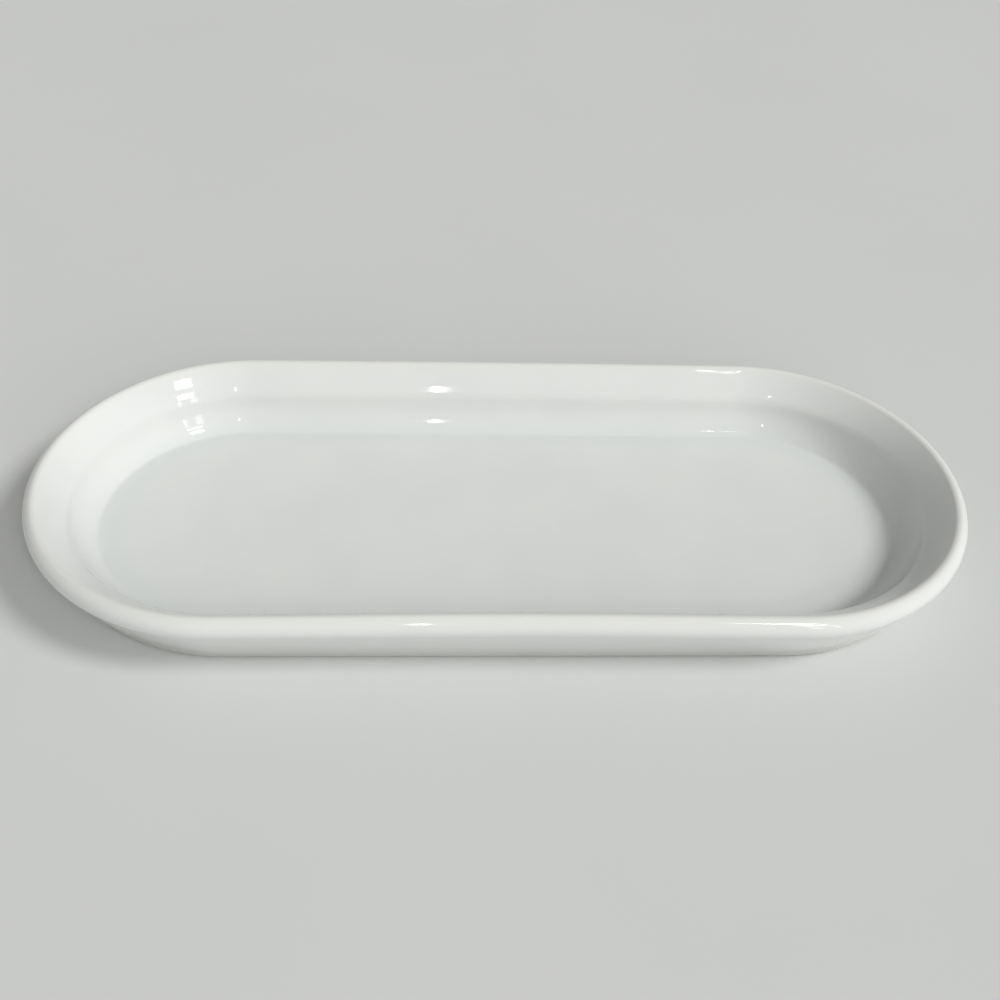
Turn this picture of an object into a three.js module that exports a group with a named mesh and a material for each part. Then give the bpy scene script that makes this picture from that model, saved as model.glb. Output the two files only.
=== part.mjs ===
import * as THREE from 'three';

// Bread tray in glazed stoneware, moulded in one piece: a long outline with rounded ends, a rolled rim,
// an inner wall that turns over a soft shoulder and sweeps into a flat floor, and a foot ring bare of glaze.
// Millimetres, +Z up. The origin is on the table, under the middle of the tray.

// Overall sizes, over the glaze
const trayLength = 306;
const trayWidth = 124;
const trayHeight = 26;
const floorHeight = 5.6;

// How much further each end reaches than a half circle would
const endStretch = 4;

// A tilt is the angle, in degrees, between a surface's outward normal and straight up. It is positive where
// the surface faces the tray's middle and negative where it faces outside. A surface at 180 faces the table.

// Rolled rim
const rimOuterRadius = 4.5;
const rimCrownRadius = 2;
const rimCrownTilt = -25;

// Inner wall, from the rim down to the floor
const bandTopTilt = 44;
const bandTurn = 8;
const shoulderRadius = 9;
const wallLean = 14;
const sweepRadius = 17;
const sweepFootTilt = 38;
const floorFillet = 2.5;

// Foot ring and the recess inside it
const footInset = 9.1;
const footWidth = 5.5;
const footEdgeRadius = 0.7;
const recessDepth = 2;
const recessFillet = 1.4;
const recessSideTilt = 125;

// Glaze, and the clearance that keeps it a body apart from the clay
const glazeThickness = 0.4;
const glazeClearance = 0.1;
const glazeLineHeight = 0.5;

// Facets
const stepsPerEnd = 24;
const turnPerStep = 11;

const clayDepth = glazeThickness + glazeClearance;
const endReach = trayWidth / 2 + endStretch;
const endCentre = trayLength / 2 - endReach;

// Unit normal of a surface in the section. Section points are (inset from the outline, height).
function normalAt(tilt) {
  const angle = THREE.MathUtils.degToRad(tilt);
  return new THREE.Vector2(Math.sin(angle), Math.cos(angle));
}

// Arc of the section. Its radius is positive where the surface is rounded over and negative in a hollow.
function arc(centre, radius, fromTilt, toTilt) {
  return { centre, radius, fromTilt, toTilt };
}

// Arc that carries on from another one without a kink.
function carryOn(before, radius, toTilt) {
  const shift = normalAt(before.toTilt).multiplyScalar(before.radius - radius);
  return arc(before.centre.clone().add(shift), radius, before.toTilt, toTilt);
}

// Centre at a given height that lies a given distance in front of a straight stretch of the section.
function centreBeside(linePoint, lineTilt, distance, height) {
  const normal = normalAt(lineTilt);
  const rise = (height - linePoint.y) * normal.y;
  return new THREE.Vector2(linePoint.x + (distance - rise) / normal.x, height);
}

// Point at a given height on a straight stretch of the section.
function pointOnLine(linePoint, lineTilt, height) {
  return centreBeside(linePoint, lineTilt, 0, height);
}

// Points along an arc, at a depth under the glazed surface.
function arcPoints({ centre, radius, fromTilt, toTilt }, depth) {
  const deepRadius = radius - depth;
  const start = THREE.MathUtils.degToRad(90 - fromTilt);
  const end = THREE.MathUtils.degToRad(90 - toTilt);
  const curve = new THREE.EllipseCurve(
    centre.x, centre.y, deepRadius, deepRadius, start, end, toTilt > fromTilt,
  );
  return curve.getPoints(Math.max(1, Math.round(Math.abs(toTilt - fromTilt) / turnPerStep)));
}

// Points along several arcs that meet end to end, at a depth under the glazed surface.
function chainPoints(arcs, depth) {
  return arcs.flatMap((piece, i) => arcPoints(piece, depth).slice(i === 0 ? 0 : 1));
}

// Height between two tilts on an arc.
function dropBetween(radius, fromTilt, toTilt) {
  return radius * (normalAt(fromTilt).y - normalAt(toTilt).y);
}

// Outer wall: the straight stretch that leaves the rim's outer round and meets the table at the foot's inset.
const rimSpan = rimOuterRadius - rimCrownRadius;
const rimCentre = new THREE.Vector2(
  rimOuterRadius,
  trayHeight - rimCrownRadius - rimSpan * normalAt(rimCrownTilt).y,
);
const footPoint = new THREE.Vector2(footInset, 0);
const toFoot = footPoint.clone().sub(rimCentre);
const outerLean = Math.atan2(toFoot.x, -toFoot.y) + Math.asin(rimOuterRadius / toFoot.length());
const outerWallTilt = -90 - THREE.MathUtils.radToDeg(outerLean);

// Rim, wall and floor edge as one chain of arcs. The band under the rim takes up the height that is left.
const bandFootTilt = bandTopTilt + bandTurn;
const wallTilt = 90 - wallLean;
const rimRound = arc(rimCentre, rimOuterRadius, outerWallTilt, rimCrownTilt);
const crown = carryOn(rimRound, rimCrownRadius, bandTopTilt);
const crownFoot = crown.centre.y + rimCrownRadius * normalAt(bandTopTilt).y;
const bandDrop = crownFoot - floorHeight
  - dropBetween(shoulderRadius, bandFootTilt, wallTilt)
  - dropBetween(sweepRadius, sweepFootTilt, wallTilt)
  - dropBetween(floorFillet, 0, sweepFootTilt);
const bandRadius = bandDrop / dropBetween(1, bandTopTilt, bandFootTilt);
const band = carryOn(crown, bandRadius, bandFootTilt);
const shoulder = carryOn(band, shoulderRadius, wallTilt);
const sweep = carryOn(shoulder, -sweepRadius, sweepFootTilt);
const floorEdge = carryOn(sweep, -floorFillet, 0);
const rimToFloor = [rimRound, crown, band, shoulder, sweep, floorEdge];

// Underside: a shallow recess with a sloping side and a filleted corner, inside the foot ring.
const recessSidePoint = new THREE.Vector2(footInset + footWidth, 0);
const recessCorner = arc(
  centreBeside(recessSidePoint, recessSideTilt, recessFillet, recessDepth - recessFillet),
  -recessFillet, 180, recessSideTilt,
);

// Edges of the bare foot ring, rounded from the clay's own wall and recess side to the flat that stands on
// the table.
function footEdge(linePoint, lineTilt, fromTilt, toTilt) {
  const centre = centreBeside(linePoint, lineTilt, -clayDepth - footEdgeRadius, footEdgeRadius);
  return arc(centre, footEdgeRadius, fromTilt, toTilt);
}
const footInnerEdge = footEdge(recessSidePoint, recessSideTilt, recessSideTilt, 180);
const footOuterEdge = footEdge(footPoint, outerWallTilt, -180, outerWallTilt);

// End of the glaze on a straight stretch, at a depth under its surface.
function glazeEnd(linePoint, lineTilt, depth) {
  const surface = pointOnLine(linePoint, lineTilt, glazeLineHeight);
  return surface.sub(normalAt(lineTilt).multiplyScalar(depth));
}

// One ring round the tray through a point of the section: two half ovals joined by straight sides. A path
// gives each oval twice the divisions asked for.
function ringThrough(point) {
  const reach = endReach - point.x;
  const halfWidth = trayWidth / 2 - point.x;
  const path = new THREE.Path();
  path.absellipse(endCentre, 0, reach, halfWidth, -Math.PI / 2, Math.PI / 2);
  path.absellipse(-endCentre, 0, reach, halfWidth, Math.PI / 2, Math.PI * 1.5);
  return path.getPoints(stepsPerEnd / 2);
}

// Closed solid lofted through the rings of a section. The section starts at a flat that faces down, runs
// outwards and up, and ends at a flat that faces up.
function loftSection(section) {
  const rings = section.map(ringThrough);
  const count = rings[0].length;
  const positions = rings.flatMap((ring, i) => ring.flatMap(({ x, y }) => [x, y, section[i].y]));
  const flat = THREE.ShapeUtils.triangulateShape(rings[0], []);
  const lastRing = count * (rings.length - 1);
  const faces = flat.flatMap(([a, b, c]) => [a, c, b, lastRing + a, lastRing + b, lastRing + c]);
  for (let low = 0; low < lastRing; low += count) {
    const high = low + count;
    for (let side = 0; side < count; side += 1) {
      const next = (side + 1) % count;
      faces.push(low + side, low + next, high + next, low + side, high + next, high + side);
    }
  }
  const geometry = new THREE.BufferGeometry();
  geometry.setAttribute('position', new THREE.Float32BufferAttribute(positions, 3));
  geometry.setIndex(faces);
  geometry.computeVertexNormals();
  return geometry;
}

// Fired clay: the whole body, whose foot ring shows bare.
const claySection = [
  ...arcPoints(recessCorner, clayDepth),
  ...arcPoints(footInnerEdge, 0),
  ...arcPoints(footOuterEdge, 0),
  ...chainPoints(rimToFloor, clayDepth),
];

// Glaze over the outside, the rim and the inside, from the foot up.
const glazeSection = [
  ...chainPoints(rimToFloor, glazeThickness).reverse(),
  glazeEnd(footPoint, outerWallTilt, glazeThickness),
  glazeEnd(footPoint, outerWallTilt, 0),
  ...chainPoints(rimToFloor, 0),
];

// Glaze over the recess, which the bare foot ring parts from the rest.
const undersideSection = [
  ...arcPoints(recessCorner, 0),
  glazeEnd(recessSidePoint, recessSideTilt, 0),
  glazeEnd(recessSidePoint, recessSideTilt, glazeThickness),
  ...arcPoints(recessCorner, glazeThickness).reverse(),
];

// One named body of the tray.
function body(name, section, colour, roughness) {
  const material = new THREE.MeshStandardMaterial({ color: colour, roughness, metalness: 0 });
  const mesh = new THREE.Mesh(loftSection(section), material);
  mesh.name = name;
  return mesh;
}

const tray = new THREE.Group();
tray.add(body('clay_body', claySection, 0xe2dbcc, 0.85));
tray.add(body('glaze_coat', glazeSection, 0xecedea, 0.1));
tray.add(body('underside_glaze', undersideSection, 0xecedea, 0.14));

export default tray;
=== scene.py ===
# %% [markdown]
# # A glazed bread tray
# The tray is one long piece of stoneware: pressed into a mould, dried, dipped in white glaze and fired.
# It has no screws, lids or hinges, so all of its character is in the section of its wall and in the way
# the glaze takes the light. This lesson draws that section once, carries it round the outline, and then
# spends its time on the glaze. The solid model of the tray is loaded first. It stays where it is, and
# its box gives the length, the width and the height.

# %% Load the frame
import math

import bmesh
import bpy
from mathutils import Matrix, Vector


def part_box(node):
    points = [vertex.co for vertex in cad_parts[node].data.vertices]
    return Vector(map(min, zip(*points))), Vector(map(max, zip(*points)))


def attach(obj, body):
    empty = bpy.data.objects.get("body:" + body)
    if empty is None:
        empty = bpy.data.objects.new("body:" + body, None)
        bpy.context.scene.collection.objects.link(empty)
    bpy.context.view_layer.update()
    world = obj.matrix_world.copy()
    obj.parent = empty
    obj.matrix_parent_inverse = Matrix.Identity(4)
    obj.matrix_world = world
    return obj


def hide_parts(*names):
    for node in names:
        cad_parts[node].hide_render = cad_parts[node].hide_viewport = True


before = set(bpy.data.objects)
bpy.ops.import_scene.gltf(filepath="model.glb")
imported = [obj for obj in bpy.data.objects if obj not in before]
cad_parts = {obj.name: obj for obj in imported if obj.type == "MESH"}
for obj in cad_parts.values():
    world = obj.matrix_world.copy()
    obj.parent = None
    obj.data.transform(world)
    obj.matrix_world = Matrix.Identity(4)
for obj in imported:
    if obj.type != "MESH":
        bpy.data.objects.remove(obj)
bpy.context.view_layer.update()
print("solid pieces:", sorted(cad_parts))

# %% [markdown]
# ## The outline
# Seen from above, the tray is a rectangle with a rounded end on each side. The ends are nearly half
# circles, drawn out a little along the tray. The width and the length are read from the box of the
# glaze, so the pieces made here fit the solid model without any trial and error.

# %% Measure the outline
millimetre = 0.001
glaze_low, glaze_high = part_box("glaze_coat")
half_width = glaze_high.y
half_length = glaze_high.x
tray_height = glaze_high.z
glaze_line = glaze_low.z
end_stretch = 4.0 * millimetre
end_centre = half_length - half_width - end_stretch
print("half width", round(half_width, 4), "end centre", round(end_centre, 4))
print("height", round(tray_height, 4), "glaze line", round(glaze_line, 4))

# %% [markdown]
# ## A compass for the section
# A potter cuts the wall's section into a template with a few sweeps of a compass, and each sweep starts
# where the last one stopped, so there is no kink. Spin does the same here: it swings one vertex about a
# centre and leaves a chain of short edges. The tilt is the angle between the surface's normal and
# straight up. It is positive where the surface faces the middle of the tray and negative where it faces
# outside. A negative radius draws a hollow. The section is drawn on the near long side, where +Y points
# to the middle.

# %% Draw arcs and lines with one vertex as the pen
fine_turn = 3.0
fewest_steps = 6


def section_point(inset, height):
    """A point of the section, from its inset inside the outline and its height over the table."""
    return Vector((end_centre, inset - half_width, height))


def normal_at(tilt):
    """The direction a surface of that tilt faces."""
    angle = math.radians(tilt)
    return Vector((0, math.sin(angle), math.cos(angle)))


def swing(mesh, pen, radius, from_tilt, to_tilt):
    """Draws an arc and returns the vertex at its end."""
    centre = pen.co - normal_at(from_tilt) * radius
    turn = from_tilt - to_tilt
    steps = max(fewest_steps, round(abs(turn) / fine_turn))
    arc = bmesh.ops.spin(
        mesh, geom=[pen], cent=centre, axis=(1, 0, 0), angle=math.radians(turn), steps=steps,
    )
    return next(item for item in arc["geom_last"] if isinstance(item, bmesh.types.BMVert))


def draw_line(mesh, pen, target):
    """Draws a straight stretch and returns the vertex at its end."""
    tip = bmesh.ops.extrude_vert_indiv(mesh, verts=[pen])["verts"][0]
    bmesh.ops.translate(mesh, verts=[tip], vec=target - pen.co)
    return tip


print("one step of the compass turns", fine_turn, "degrees")

# %% [markdown]
# ## The section from the foot to the floor
# On the way up from the foot there is a flared outer wall and a rolled rim: a large round outside and a
# tighter one on its crown. On the way down there is a sloping band, a soft shoulder, a steep stretch
# and a hollow that sweeps into the floor. In the photo that S shape shows as pairs of lights, one above
# the shoulder and one below it. The band takes up whatever height is left between the other arcs, so
# the floor always ends at its own level.

# %% Sizes of the section
floor_height = 5.6 * millimetre
rim_radius = 4.5 * millimetre
crown_radius = 2.0 * millimetre
shoulder_radius = 9.0 * millimetre
sweep_radius = 17.0 * millimetre
floor_fillet = 2.5 * millimetre
foot_inset = 9.1 * millimetre
crown_tilt = -25
band_top_tilt = 44
band_foot_tilt = 52
wall_tilt = 76
sweep_foot_tilt = 38


def drop_between(radius, from_tilt, to_tilt):
    """The height between two tilts on one arc."""
    return radius * (normal_at(from_tilt).z - normal_at(to_tilt).z)


rim_centre_height = tray_height - crown_radius - (rim_radius - crown_radius) * normal_at(crown_tilt).z
rim_to_foot = math.hypot(foot_inset - rim_radius, rim_centre_height)
outer_lean = (
    math.atan2(foot_inset - rim_radius, rim_centre_height) + math.asin(rim_radius / rim_to_foot)
)
outer_tilt = -90 - math.degrees(outer_lean)
band_drop = (
    tray_height - drop_between(crown_radius, 0, band_top_tilt) - floor_height
    - drop_between(shoulder_radius, band_foot_tilt, wall_tilt)
    - drop_between(sweep_radius, sweep_foot_tilt, wall_tilt)
    - drop_between(floor_fillet, 0, sweep_foot_tilt)
)
band_radius = band_drop / drop_between(1, band_top_tilt, band_foot_tilt)
print("outer wall leans", round(math.degrees(outer_lean), 1), "degrees")
print("band radius in metres:", round(band_radius, 4))

# %% [markdown]
# ## One wall at any depth
# Clay and glaze share this section, one under the other, so the same chain of arcs is drawn at
# different depths. A skin that lies deeper by some thickness has every round that much tighter and
# every hollow that much wider. That is exact, where scaling a copy would make the coat thick in one
# place and thin in another.

# %% Draw the wall at a depth under the glazed face
wall_strokes = [
    (crown_radius, band_top_tilt),
    (band_radius, band_foot_tilt),
    (shoulder_radius, wall_tilt),
    (-sweep_radius, sweep_foot_tilt),
    (-floor_fillet, 0),
]


def point_on_outer_wall(height, depth):
    """Where the outer wall passes a height, taken back into the tray by a depth."""
    inset = foot_inset - height * math.tan(outer_lean)
    return section_point(inset, height) - normal_at(outer_tilt) * depth


def rim_start(depth):
    """Where the outer wall turns into the rolled rim."""
    centre = section_point(rim_radius, rim_centre_height)
    return centre + normal_at(outer_tilt) * (rim_radius - depth)


def draw_wall(mesh, pen, depth):
    """Draws from the outer wall over the rim to the edge of the floor."""
    pen = draw_line(mesh, pen, rim_start(depth))
    pen = swing(mesh, pen, rim_radius - depth, outer_tilt, crown_tilt)
    tilt = crown_tilt
    for radius, to_tilt in wall_strokes:
        pen = swing(mesh, pen, radius - depth, tilt, to_tilt)
        tilt = to_tilt


print("arcs in the wall:", len(wall_strokes) + 1)

# %% [markdown]
# ## Round the outline
# Extruding along a curve would need a path and a bevel object. Spin needs only a centre and an angle:
# half a turn about one end, a straight push along the far side, half a turn about the other end, and a
# push back. A spin with no turn and a step for its offset is that push. The last section then lies on
# the first, and merging the doubles closes the ring. The inner edges of the ring are filled to make the
# floor, with a narrow inset ring that keeps the smooth shading of the wall from creeping over the flat.

# %% Carry a section round the tray
end_steps = 64
side_steps = 44
merge_distance = 0.002 * millimetre


def turn_end(mesh, geometry, centre_x):
    """Spins the section through half a turn about the centre of one end."""
    return bmesh.ops.spin(
        mesh, geom=geometry, cent=(centre_x, 0, 0), axis=(0, 0, 1), angle=math.pi, steps=end_steps,
    )["geom_last"]


def push_side(mesh, geometry, length):
    """Carries the section straight along one side."""
    step = Vector((length / side_steps, 0, 0))
    return bmesh.ops.spin(
        mesh, geom=geometry, cent=(0, 0, 0), axis=(0, 0, 1), angle=0, dvec=step, steps=side_steps,
    )["geom_last"]


def draw_out_ends(mesh):
    """Makes the half circles a little longer. Every skin moves alike, so they stay as far apart."""
    for vert in mesh.verts:
        past_centre = abs(vert.co.x) - end_centre
        if past_centre > 0:
            share = past_centre / math.hypot(past_centre, vert.co.y)
            vert.co.x += math.copysign(end_stretch * share, vert.co.x)


def carry_round(mesh):
    """Turns a drawn section into a closed band round the tray."""
    geometry = mesh.verts[:] + mesh.edges[:]
    geometry = turn_end(mesh, geometry, end_centre)
    geometry = push_side(mesh, geometry, -2 * end_centre)
    geometry = turn_end(mesh, geometry, -end_centre)
    push_side(mesh, geometry, 2 * end_centre)
    bmesh.ops.remove_doubles(mesh, verts=mesh.verts[:], dist=merge_distance)
    draw_out_ends(mesh)


print("sections round the tray:", 2 * (end_steps + side_steps))

# %% Close a ring with a flat
floor_margin = 1.2 * millimetre


def lies_at(edge, height):
    """Whether an edge lies level at a height."""
    return all(abs(vert.co.z - height) < merge_distance for vert in edge.verts)


def open_edges(mesh):
    """The edges along the open rims of a mesh."""
    return [edge for edge in mesh.edges if edge.is_boundary]


def fill_flat(mesh, height):
    """Closes the open ring at a height with a flat face and a narrow ring of faces along its edge."""
    ring = [edge for edge in open_edges(mesh) if lies_at(edge, height)]
    flat = bmesh.ops.edgeloop_fill(mesh, edges=ring)["faces"]
    bmesh.ops.inset_region(mesh, faces=flat, thickness=floor_margin, use_even_offset=True)


print("ring along a flat, in mm:", floor_margin / millimetre)

# %% [markdown]
# ## Bent a little by the fire
# Long thin sides move while the clay dries and again in the kiln. In the photo the rim stands a little
# higher along the middle than at the ends, and the near side is pulled in, while the foot stays
# straight. A lattice could bend the mesh, but one smooth rule for every vertex is easier to read: the
# bend grows from nothing at the floor to its full size on the rim. Clay and glaze get the same rule, so
# they stay as close as they were fired.

# %% Bend the rim
rim_lift = 0.5 * millimetre
end_drop = 0.9 * millimetre
side_pull = 0.7 * millimetre


def fire(mesh):
    """Bows the rim and pulls the near side in, as the kiln does."""
    for vert in mesh.verts:
        rise = max(0, vert.co.z - floor_height) / (tray_height - floor_height)
        # Eased at both ends, so that the bend leaves no crease.
        rise = rise * rise * (3 - 2 * rise)
        vert.co.z += rise * (rim_lift - end_drop * (vert.co.x / half_length) ** 2)
        if vert.co.y < 0 and abs(vert.co.x) < end_centre:
            vert.co.y += rise * side_pull * math.cos(math.pi / 2 * vert.co.x / end_centre) ** 2


print("the middle of the rim rises, in mm:", rim_lift / millimetre)

# %% [markdown]
# ## From a mesh to a piece
# Every piece is finished in the same way: outward normals, smooth shading, its own finish, the body
# that it rides on and the solid that it stands for. Normals are worked out again after the merge,
# because a spin can turn a surface inside out.

# %% Finish a piece
def finish_piece(mesh, name, finish, node):
    """Makes an object of a mesh and ties it to the frame."""
    bmesh.ops.recalc_face_normals(mesh, faces=mesh.faces[:])
    for face in mesh.faces:
        face.smooth = True
    data = bpy.data.meshes.new(name)
    mesh.to_mesh(data)
    mesh.free()
    data.materials.append(finish)
    piece = bpy.data.objects.new(name, data)
    bpy.context.collection.objects.link(piece)
    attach(piece, "root")
    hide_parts(node)
    print(name, "has", len(data.polygons), "faces")


# %% [markdown]
# ## White glaze
# The glaze is a white glass about as thick as a fingernail. It is not one even colour: where it runs
# thin, on the crown of the rim and at its lower edge, the warm clay shows through a little, and where
# it pools, at the foot of the wall, it is cooler and deeper. Its face is smooth but never flat, with
# slow waves left by the dip and a fine skin like orange peel, so lamps mirrored in it have slightly
# soft, wandering edges. All of it is made with noise on Object coordinates. An image would show its
# pixels up close, and a plain white would look like plastic.

# %% Nodes for a finish
none_to_all = (0, 1)


def new_finish(name):
    """An empty finish with its nodes, its shader and the coordinates that its patterns read."""
    finish = bpy.data.materials.new(name)
    finish.use_nodes = True
    tree = finish.node_tree
    place = tree.nodes.new("ShaderNodeTexCoord")
    return finish, tree, tree.nodes["Principled BSDF"], place.outputs["Object"]


def add_noise(tree, place, scale, detail=2.0):
    """A noise pattern whose features are about one over the scale in metres."""
    noise = tree.nodes.new("ShaderNodeTexNoise")
    noise.inputs["Scale"].default_value = scale
    noise.inputs["Detail"].default_value = detail
    tree.links.new(place, noise.inputs["Vector"])
    return noise.outputs["Fac"]


def add_range(tree, value, from_span, to_span=none_to_all):
    """Maps one span of values smoothly onto another."""
    mapped = tree.nodes.new("ShaderNodeMapRange")
    mapped.interpolation_type = "SMOOTHSTEP"
    mapped.inputs["From Min"].default_value = from_span[0]
    mapped.inputs["From Max"].default_value = from_span[1]
    mapped.inputs["To Min"].default_value = to_span[0]
    mapped.inputs["To Max"].default_value = to_span[1]
    tree.links.new(value, mapped.inputs["Value"])
    return mapped.outputs["Result"]


def add_mix(tree, factor, first, second):
    """Mixes two colours. Each is a colour or the output of another node."""
    mix = tree.nodes.new("ShaderNodeMix")
    mix.data_type = "RGBA"
    tree.links.new(factor, mix.inputs["Factor"])
    # A Mix node has sockets for each kind of data. Inputs 6 and 7 and output 2 are those for colours.
    for socket, colour in ((mix.inputs[6], first), (mix.inputs[7], second)):
        if isinstance(colour, tuple):
            socket.default_value = (*colour, 1)
        else:
            tree.links.new(colour, socket)
    return mix.outputs[2]


def add_bump(tree, height, depth, under=None):
    """Raises the surface by a pattern, by so many metres, over an earlier bump."""
    bump = tree.nodes.new("ShaderNodeBump")
    bump.inputs["Strength"].default_value = 1.0
    bump.inputs["Distance"].default_value = depth
    tree.links.new(height, bump.inputs["Height"])
    if under is not None:
        tree.links.new(under, bump.inputs["Normal"])
    return bump.outputs["Normal"]


print("helpers for patterns, ranges, mixes and bumps")

# %% Colour the glaze
glaze_white = (0.740, 0.755, 0.733)
glaze_cloud = (0.718, 0.735, 0.714)
glaze_thin = (0.735, 0.738, 0.692)
glaze_pool = (0.685, 0.718, 0.706)
cloud_scale = 38
cloud_span = (0.35, 0.7)
floor_inset = 20 * millimetre
floor_reach = half_width - floor_inset
pool_on_floor = 8 * millimetre
pool_on_wall = 7 * millimetre
pool_share = 0.6
crown_share = 0.6
edge_share = 0.9


def add_reach(tree, place):
    """How far a point lies, seen from above, from the line between the centres of the two ends."""
    steps = (
        ("ABSOLUTE", None),
        ("SUBTRACT", (end_centre, 0, 0)),
        ("MAXIMUM", (0, 0, 0)),
        ("MULTIPLY", (1, 1, 0)),
    )
    for operation, amount in steps:
        step = tree.nodes.new("ShaderNodeVectorMath")
        step.operation = operation
        tree.links.new(place, step.inputs[0])
        if amount is not None:
            step.inputs[1].default_value = amount
        place = step.outputs["Vector"]
    length = tree.nodes.new("ShaderNodeVectorMath")
    length.operation = "LENGTH"
    tree.links.new(place, length.inputs[0])
    return length.outputs["Value"]


def colour_glaze(tree, place):
    """White with faint clouds, cooler where it pools and warmer where it is thin."""
    clouds = add_range(tree, add_noise(tree, place, cloud_scale, detail=4), cloud_span)
    plain = add_mix(tree, clouds, glaze_white, glaze_cloud)
    reach = add_reach(tree, place)
    to_wall = add_range(tree, reach, (floor_reach - pool_on_floor, floor_reach), (0, pool_share))
    up_wall = add_range(tree, reach, (floor_reach, floor_reach + pool_on_wall))
    colour = add_mix(tree, up_wall, add_mix(tree, to_wall, plain, glaze_pool), plain)
    split = tree.nodes.new("ShaderNodeSeparateXYZ")
    tree.links.new(place, split.inputs["Vector"])
    height = split.outputs["Z"]
    on_crown = add_range(tree, height, (tray_height - crown_radius, tray_height), (0, crown_share))
    colour = add_mix(tree, on_crown, colour, glaze_thin)
    at_edge = add_range(tree, height, (glaze_line, 2 * glaze_line), (edge_share, 0))
    return add_mix(tree, at_edge, colour, glaze_thin)


print("the floor reaches, in mm:", round(floor_reach / millimetre, 1))

# %% Mix the glaze
gloss_scale = 140
gloss_span = (0.3, 0.75)
glaze_roughness = (0.03, 0.06)
wave_scale = 45
wave_depth = 0.014 * millimetre
peel_scale = 420
peel_depth = 0.0015 * millimetre
glaze_ior = 1.52


def mix_glaze(name):
    """The white gloss glaze."""
    finish, tree, shader, place = new_finish(name)
    tree.links.new(colour_glaze(tree, place), shader.inputs["Base Color"])
    gloss = add_noise(tree, place, gloss_scale, detail=3)
    tree.links.new(add_range(tree, gloss, gloss_span, glaze_roughness), shader.inputs["Roughness"])
    waves = add_bump(tree, add_noise(tree, place, wave_scale, detail=1), wave_depth)
    peel = add_noise(tree, place, peel_scale, detail=1)
    tree.links.new(add_bump(tree, peel, peel_depth, under=waves), shader.inputs["Normal"])
    shader.inputs["IOR"].default_value = glaze_ior
    return finish


white_glaze = mix_glaze("white_gloss_glaze")
print("mixed", white_glaze.name)

# %% [markdown]
# ## Bare clay
# The foot ring is wiped clean before firing, or the tray would stick to the kiln shelf. What shows
# there is the dry stoneware: cream with buff clouds, matt and gritty, with a few darker grains. It
# takes the same helpers as the glaze, with finer noise, because a plain cream would look like painted
# card.

# %% Mix the clay
clay_cream = (0.74, 0.69, 0.60)
clay_buff = (0.66, 0.59, 0.49)
clay_grain = (0.42, 0.35, 0.27)
clay_cloud_scale = 160
grain_scale = 2600
grain_span = (0.66, 0.72)
grain_share = 0.7
dry_span = (0.3, 0.7)
clay_roughness = (0.78, 0.9)
grit_scale = 1500
grit_depth = 0.06 * millimetre


def mix_clay(name):
    """The bare fired stoneware of the foot ring."""
    finish, tree, shader, place = new_finish(name)
    cloud = add_noise(tree, place, clay_cloud_scale, detail=4)
    colour = add_mix(tree, add_range(tree, cloud, cloud_span), clay_cream, clay_buff)
    grains = add_range(tree, add_noise(tree, place, grain_scale), grain_span, (0, grain_share))
    tree.links.new(add_mix(tree, grains, colour, clay_grain), shader.inputs["Base Color"])
    tree.links.new(add_range(tree, cloud, dry_span, clay_roughness), shader.inputs["Roughness"])
    grit = add_noise(tree, place, grit_scale, detail=3)
    tree.links.new(add_bump(tree, grit, grit_depth), shader.inputs["Normal"])
    return finish


bare_clay = mix_clay("bare_stoneware")
print("mixed", bare_clay.name)

# %% [markdown]
# ## The glaze coat
# The coat that the photo shows covers the outer wall, the rim, the inner wall and the floor. It is
# drawn as two skins, the face and the back that grips the clay, and bridged along the lower edge where
# the glaze was wiped off. A Solidify modifier would do it too, but drawn skins keep the exact depth on
# tight rounds.

# %% Make the glaze coat
glaze_thickness = 0.4 * millimetre
edge_round = 0.18 * millimetre
edge_segments = 3


def add_skin(mesh, skin):
    """Adds a finished skin to a mesh and lets go of the skin."""
    data = bpy.data.meshes.new("skin")
    skin.to_mesh(data)
    skin.free()
    mesh.from_mesh(data)
    bpy.data.meshes.remove(data)


def draw_coat_skin(mesh, depth):
    """Draws one skin of the glaze, from the glaze line to the floor, and carries it round."""
    skin = bmesh.new()
    draw_wall(skin, skin.verts.new(point_on_outer_wall(glaze_line, depth)), depth)
    carry_round(skin)
    fill_flat(skin, floor_height - depth)
    add_skin(mesh, skin)


coat = bmesh.new()
draw_coat_skin(coat, 0)
draw_coat_skin(coat, glaze_thickness)
edge_faces = bmesh.ops.bridge_loops(coat, edges=open_edges(coat))["faces"]
# A dict keeps each edge once and in order, so that the mesh is the same on every run.
outer_edge = dict.fromkeys(
    edge for face in edge_faces for edge in face.edges if lies_at(edge, glaze_line)
)
bmesh.ops.bevel(
    coat, geom=list(outer_edge), offset=edge_round, offset_type="OFFSET", affect="EDGES",
    segments=edge_segments, profile=0.5, material=-1,
)
fire(coat)
finish_piece(coat, "glazed_shell", white_glaze, "glaze_coat")

# %% [markdown]
# ## The foot and the underside
# Under the tray a shallow recess is left inside the foot ring, so that the tray stands on the ring
# alone and can't rock. Its side slopes, to leave the mould, and a fillet takes it into the ceiling. The
# ceiling is glazed too. The recess can't be seen in the photo, so it follows what such trays have.

# %% Sizes of the foot
foot_width = 5.5 * millimetre
foot_round = 0.7 * millimetre
recess_depth = 2.0 * millimetre
recess_fillet = 1.4 * millimetre
recess_tilt = 125
clay_depth = 0.5 * millimetre


def beside(line_inset, line_tilt, distance, height):
    """The point at a height, a distance in front of a straight stretch that starts on the table."""
    normal = normal_at(line_tilt)
    return section_point(line_inset + (distance - height * normal.z) / normal.y, height)


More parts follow.
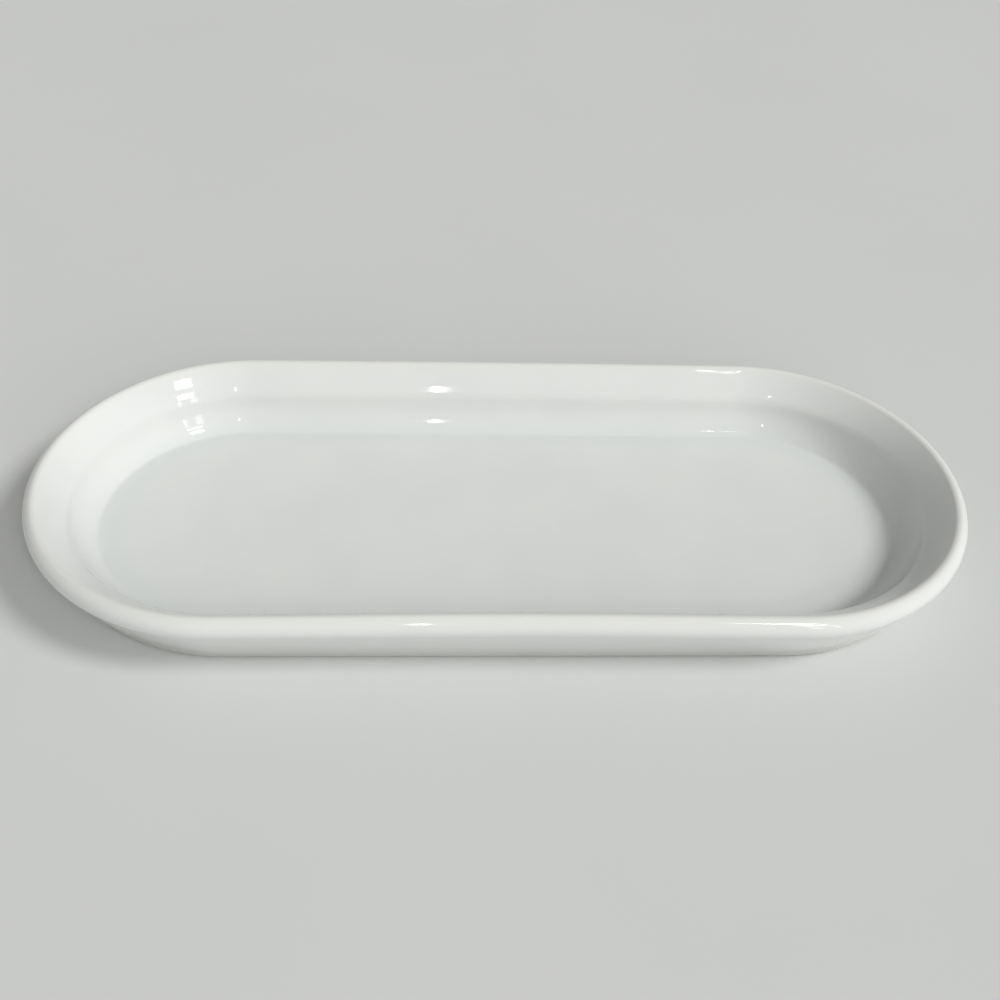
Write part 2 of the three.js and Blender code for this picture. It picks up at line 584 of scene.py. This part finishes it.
recess_inset = foot_inset + foot_width
recess_centre = beside(recess_inset, recess_tilt, recess_fillet, recess_depth - recess_fillet)
foot_inner_centre = beside(recess_inset, recess_tilt, -clay_depth - foot_round, foot_round)
foot_outer_centre = beside(foot_inset, outer_tilt, -clay_depth - foot_round, foot_round)
flat_width = foot_inner_centre.y - foot_outer_centre.y
print("bare flat of the foot ring, in mm:", round(flat_width / millimetre, 2))

# %% [markdown]
# ## The clay body
# One closed section makes the whole body. The pen starts on the ceiling of the recess, goes round the
# foot ring with a small round on each side of its flat, and then takes the wall's strokes at the depth
# of the clay. Two flats close it, one over the recess and one under the floor. A boolean could cut the
# recess out of a block, but it would leave long thin faces along the fillets.

# %% Make the clay body
clay = bmesh.new()
pen = clay.verts.new(recess_centre - normal_at(180) * (recess_fillet + clay_depth))
pen = swing(clay, pen, -recess_fillet - clay_depth, 180, recess_tilt)
pen = draw_line(clay, pen, foot_inner_centre + normal_at(recess_tilt) * foot_round)
pen = swing(clay, pen, foot_round, recess_tilt, 180)
pen = draw_line(clay, pen, foot_outer_centre + normal_at(180) * foot_round)
pen = swing(clay, pen, foot_round, -180, outer_tilt)
draw_wall(clay, pen, clay_depth)
carry_round(clay)
fill_flat(clay, recess_depth + clay_depth)
fill_flat(clay, floor_height - clay_depth)
fire(clay)
finish_piece(clay, "stoneware_body", bare_clay, "clay_body")

# %% [markdown]
# ## The glaze in the recess
# The bare foot ring parts this field of glaze from the coat, so it is a piece of its own. It is made
# like the coat: a face and a back, bridged along the edge. It lies below the floor, where the kiln
# bends nothing.

# %% Make the glaze in the recess
def draw_recess_skin(mesh, depth):
    """Draws one skin of the recess glaze, from the glaze line to the ceiling, and carries it round."""
    skin = bmesh.new()
    edge_start = beside(recess_inset, recess_tilt, 0, glaze_line) - normal_at(recess_tilt) * depth
    side_end = recess_centre - normal_at(recess_tilt) * (recess_fillet + depth)
    tip = draw_line(skin, skin.verts.new(edge_start), side_end)
    swing(skin, tip, -recess_fillet - depth, recess_tilt, 180)
    carry_round(skin)
    fill_flat(skin, recess_depth + depth)
    add_skin(mesh, skin)


recess = bmesh.new()
draw_recess_skin(recess, 0)
draw_recess_skin(recess, glaze_thickness)
bmesh.ops.bridge_loops(recess, edges=open_edges(recess))
finish_piece(recess, "recess_glaze", white_glaze, "underside_glaze")

# %% [markdown]
# ## The table
# The tray stands on a plain pale floor, wide enough that its edge is never near. It is matt, with a
# trace of unevenness, so that the tray's shadow is all that draws the eye.

# %% Make the floor
floor_radius = 6.0
floor_segments = 96
floor_pale = (0.665, 0.675, 0.665)
floor_grey = (0.635, 0.645, 0.635)
floor_shade_scale = 9
floor_roughness = 0.85

table = bmesh.new()
bmesh.ops.create_circle(table, cap_ends=True, radius=floor_radius, segments=floor_segments)
table_data = bpy.data.meshes.new("studio_floor")
table.to_mesh(table_data)
table.free()
studio_floor = bpy.data.objects.new("studio_floor", table_data)
bpy.context.collection.objects.link(studio_floor)
floor_finish, tree, shader, place = new_finish("matt_floor")
shade = add_noise(tree, place, floor_shade_scale, detail=3)
tree.links.new(add_mix(tree, shade, floor_pale, floor_grey), shader.inputs["Base Color"])
shader.inputs["Roughness"].default_value = floor_roughness
table_data.materials.append(floor_finish)
print("floor radius in metres:", floor_radius)

# %% [markdown]
# ## The camera
# The camera stands where the photo was taken from: in front of the tray, close, looking down at about
# 45 degrees with a slight roll. Its place was found by laying the tray's own edges over the photo's.

# %% Set up the camera
camera_place = Vector((-0.0193, -0.2546, 0.2740))
camera_yaw = 4.14
camera_pitch = 45.4
camera_roll = 3.27
camera_lens = 39.29
camera_sensor = 36.0
nearest_seen = 0.01

camera_data = bpy.data.cameras.new("camera")
camera_data.lens = camera_lens
camera_data.sensor_width = camera_sensor
camera_data.clip_start = nearest_seen
camera = bpy.data.objects.new("camera", camera_data)
bpy.context.collection.objects.link(camera)
camera.matrix_world = (
    Matrix.Translation(camera_place)
    @ Matrix.Rotation(math.radians(-camera_yaw), 4, "Z")
    @ Matrix.Rotation(math.radians(90 - camera_pitch), 4, "X")
    @ Matrix.Rotation(math.radians(camera_roll), 4, "Z")
)
bpy.context.scene.camera = camera
print("camera at", [round(value, 3) for value in camera.location])

# %% [markdown]
# ## The light
# White gloss needs two kinds of light. Broad, soft light shapes it: a large soft lamp half way up on
# the right, and a room that is brighter on the window's side. So the left and far walls are bright, the
# right wall is in shade, and the tray drops a soft shadow to its left. Both would show in the glaze as
# large pale patches, so they are kept out of its reflections. Small, bright shapes make it look wet: a
# window of two panes between two pale curtains, and two small lamps. The gloss mirrors each of them
# twice, on the round of the shoulder and in the hollow below it.

# %% Hang the lamps
aim = Vector((0, 0, 12 * millimetre))
soft_lamp_spread = 16
window_distance = 6.0


def toward(azimuth, elevation):
    """The direction from the tray to a lamp. Azimuth 0 is the camera's side and 90 the right."""
    turn, rise = math.radians(azimuth), math.radians(elevation)
    return Vector((math.sin(turn) * math.cos(rise), -math.cos(turn) * math.cos(rise), math.sin(rise)))


def hang_lamp(name, kind, power, direction, distance):
    """Hangs a lamp that faces the tray and doesn't show in the picture itself."""
    lamp = bpy.data.objects.new(name, bpy.data.lights.new(name, kind))
    lamp.data.energy = power
    lamp.location = aim + direction * distance
    lamp.rotation_mode = "QUATERNION"
    lamp.rotation_quaternion = (-direction).to_track_quat("-Z", "Y")
    lamp.visible_camera = False
    bpy.context.collection.objects.link(lamp)
    print(name, "at", [round(value, 2) for value in lamp.location])
    return lamp


def hang_pane(name, power, direction, distance, size):
    """Hangs a bright rectangle, of a width and a height."""
    pane = hang_lamp(name, "AREA", power, direction, distance)
    pane.data.shape = "RECTANGLE"
    pane.data.size, pane.data.size_y = size


soft_lamp = hang_lamp("soft_lamp", "SUN", power=1.60, direction=toward(74, 46), distance=4.0)
soft_lamp.data.angle = math.radians(soft_lamp_spread)
soft_lamp.visible_glossy = False
hang_pane("window_top", power=21, direction=toward(30, 47.5), distance=window_distance, size=(0.75, 0.60))
hang_pane("window_foot", power=20, direction=toward(30, 38), distance=window_distance, size=(0.85, 0.50))
hang_pane("left_curtain", power=9, direction=toward(25, 21), distance=window_distance, size=(0.40, 2.30))
hang_pane("right_curtain", power=6, direction=toward(34, 21), distance=window_distance, size=(0.22, 2.30))
hang_pane("corner_lamp", power=0.085, direction=toward(26.7, 51.5), distance=2.0, size=(0.022, 0.05))
hang_pane("front_lamp", power=2.5, direction=toward(-1.05, 35), distance=4.0, size=(0.034, 0.46))

# %% [markdown]
# ## The room
# The world does two jobs here. As light it is dim all round and brighter towards the window, like a
# room by day. As a picture, to the camera and in the gloss, it is one plain grey, so that nothing
# competes with the tray. The Light Path node tells the two jobs apart.

# %% Fill the room with pale light
room_light = (1.0, 1.0, 0.99)
room_seen = (0.60, 0.61, 0.60)
window_side = toward(30, 20)
window_glow = (0.7, 1.0)
room_strength = (0.31, 1.35)

world = bpy.data.worlds.new("pale_room")
world.use_nodes = True
room = world.node_tree
lighting = room.nodes["Background"]
lighting.inputs["Color"].default_value = (*room_light, 1)
around = room.nodes.new("ShaderNodeTexCoord")
facing_window = room.nodes.new("ShaderNodeVectorMath")
facing_window.operation = "DOT_PRODUCT"
facing_window.inputs[1].default_value = window_side
room.links.new(around.outputs["Generated"], facing_window.inputs[0])
brightness = add_range(room, facing_window.outputs["Value"], window_glow, room_strength)
room.links.new(brightness, lighting.inputs["Strength"])
print("room light from", room_strength[0], "to", room_strength[1])

# %% Show the room as one plain grey
backdrop = room.nodes.new("ShaderNodeBackground")
backdrop.inputs["Color"].default_value = (*room_seen, 1)
ray = room.nodes.new("ShaderNodeLightPath")
seen = ray.outputs["Is Camera Ray"]
for other_ray in ("Is Glossy Ray", "Is Transmission Ray"):
    either = room.nodes.new("ShaderNodeMath")
    either.operation = "MAXIMUM"
    room.links.new(seen, either.inputs[0])
    room.links.new(ray.outputs[other_ray], either.inputs[1])
    seen = either.outputs["Value"]
choose = room.nodes.new("ShaderNodeMixShader")
room.links.new(seen, choose.inputs["Fac"])
room.links.new(lighting.outputs["Background"], choose.inputs[1])
room.links.new(backdrop.outputs["Background"], choose.inputs[2])
room.links.new(choose.outputs["Shader"], room.nodes["World Output"].inputs["Surface"])
bpy.context.scene.world = world
bpy.context.scene.view_settings.view_transform = "Standard"
print("room colour", room_seen)
